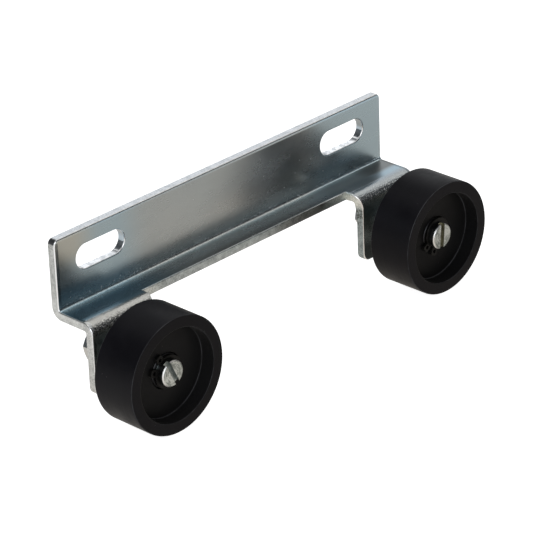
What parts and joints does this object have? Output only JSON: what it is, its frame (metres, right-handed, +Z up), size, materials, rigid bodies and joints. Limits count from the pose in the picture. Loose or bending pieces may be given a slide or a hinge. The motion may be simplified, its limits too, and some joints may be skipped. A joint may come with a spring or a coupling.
{
  "type": "sliding door roller",
  "caption": "Bent Z-section steel bracket with two horizontal fixing slots, carrying black plastic rollers side by side on slotted stub axles with ball bearings.",
  "frame": {"origin": "centre of the two mounting slots, on the mounting face, which is the back of the upper flange", "axes": "+X along the bracket towards the right roller, +Y out of the mounting face into the door or frame it is fixed to, +Z up"},
  "size_m": [0.168, 0.0434, 0.0583],
  "materials": {
    "zinc_plated_sheet": "bright zinc plate, rolled sheet",
    "black_nylon": "turned, satin",
    "axle_steel": "turned, zinc plated",
    "spring_steel": "black phosphate",
    "zinc_hardware": "zinc plated",
    "black_oxide_steel": "black oxide",
    "bearing_steel": "ground",
    "bearing_cage_steel": "pressed",
    "shield_steel": "pressed"
  },
  "bodies": {
    "bracket_assembly": {"bracket": "zinc_plated_sheet", "left_axle": "axle_steel", "left_axle_washer": "zinc_hardware", "left_axle_nut": "zinc_hardware", "left_spacer_sleeve": "black_oxide_steel", "left_circlip": "spring_steel", "left_bearing_inner_ring": "bearing_steel", "right_axle": "axle_steel", "right_axle_washer": "zinc_hardware", "right_axle_nut": "zinc_hardware", "right_spacer_sleeve": "black_oxide_steel", "right_circlip": "spring_steel", "right_bearing_inner_ring": "bearing_steel"},
    "left_roller_wheel": {"left_roller": "black_nylon", "left_bearing_outer_ring": "bearing_steel", "left_bearing_front_shield": "shield_steel", "left_bearing_rear_shield": "shield_steel"},
    "left_ball_set": {"left_bearing_balls": "bearing_steel", "left_bearing_cage": "bearing_cage_steel"},
    "right_roller_wheel": {"right_roller": "black_nylon", "right_bearing_outer_ring": "bearing_steel", "right_bearing_front_shield": "shield_steel", "right_bearing_rear_shield": "shield_steel"},
    "right_ball_set": {"right_bearing_balls": "bearing_steel", "right_bearing_cage": "bearing_cage_steel"}
  },
  "joints": [
    {"name": "left_roller_spin", "type": "hinge", "parent": "bracket_assembly", "child": "left_roller_wheel", "pos_m": [-0.064, -0.0315, -0.0285], "axis": [0, 1, 0], "continuous": true},
    {"name": "left_ball_set_orbit", "type": "hinge", "parent": "bracket_assembly", "child": "left_ball_set", "pos_m": [-0.064, -0.0315, -0.0285], "axis": [0, 1, 0], "continuous": true},
    {"name": "right_roller_spin", "type": "hinge", "parent": "bracket_assembly", "child": "right_roller_wheel", "pos_m": [0.064, -0.0315, -0.0285], "axis": [0, 1, 0], "continuous": true},
    {"name": "right_ball_set_orbit", "type": "hinge", "parent": "bracket_assembly", "child": "right_ball_set", "pos_m": [0.064, -0.0315, -0.0285], "axis": [0, 1, 0], "continuous": true}
  ],
  "couplings": [
    {"joint": "left_ball_set_orbit", "follows": "left_roller_spin", "ratio": 0.6203},
    {"joint": "right_ball_set_orbit", "follows": "right_roller_spin", "ratio": 0.6203}
  ]
}
